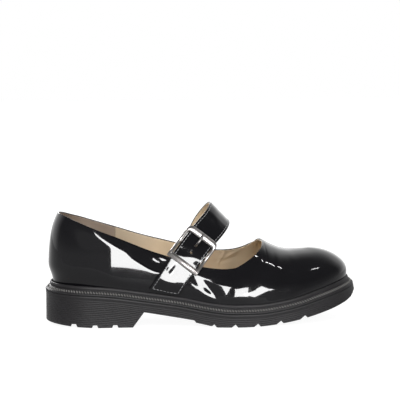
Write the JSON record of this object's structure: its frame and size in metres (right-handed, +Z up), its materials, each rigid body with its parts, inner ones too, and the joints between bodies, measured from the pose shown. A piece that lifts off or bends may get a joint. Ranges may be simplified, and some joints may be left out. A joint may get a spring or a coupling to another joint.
{
  "type": "mary jane shoe",
  "caption": "Low round-toed patent leather shoe with an open throat, a wide instep strap on a square centre-bar buckle, and a chunky lugged rubber sole with a low heel.",
  "frame": {"origin": "on the floor, under the middle of the shoe's box", "axes": "+X towards the toe, +Y towards the inner (big-toe) side, +Z up; the buckle is on the -Y side"},
  "size_m": [0.273, 0.0998, 0.1035],
  "materials": {
    "sole_rubber": "matt black, finely ribbed on its side",
    "patent_leather": "high-gloss black patent",
    "lining_leather": "matt beige",
    "buckle_metal": "polished silver plate"
  },
  "bodies": {
    "root": {"outsole": "sole_rubber", "welt": "sole_rubber", "insole": "lining_leather", "upper": "patent_leather", "strap": "patent_leather", "chape": "patent_leather", "buckle_frame": "buckle_metal", "buckle_pin": "buckle_metal"}
  },
  "joints": []
}
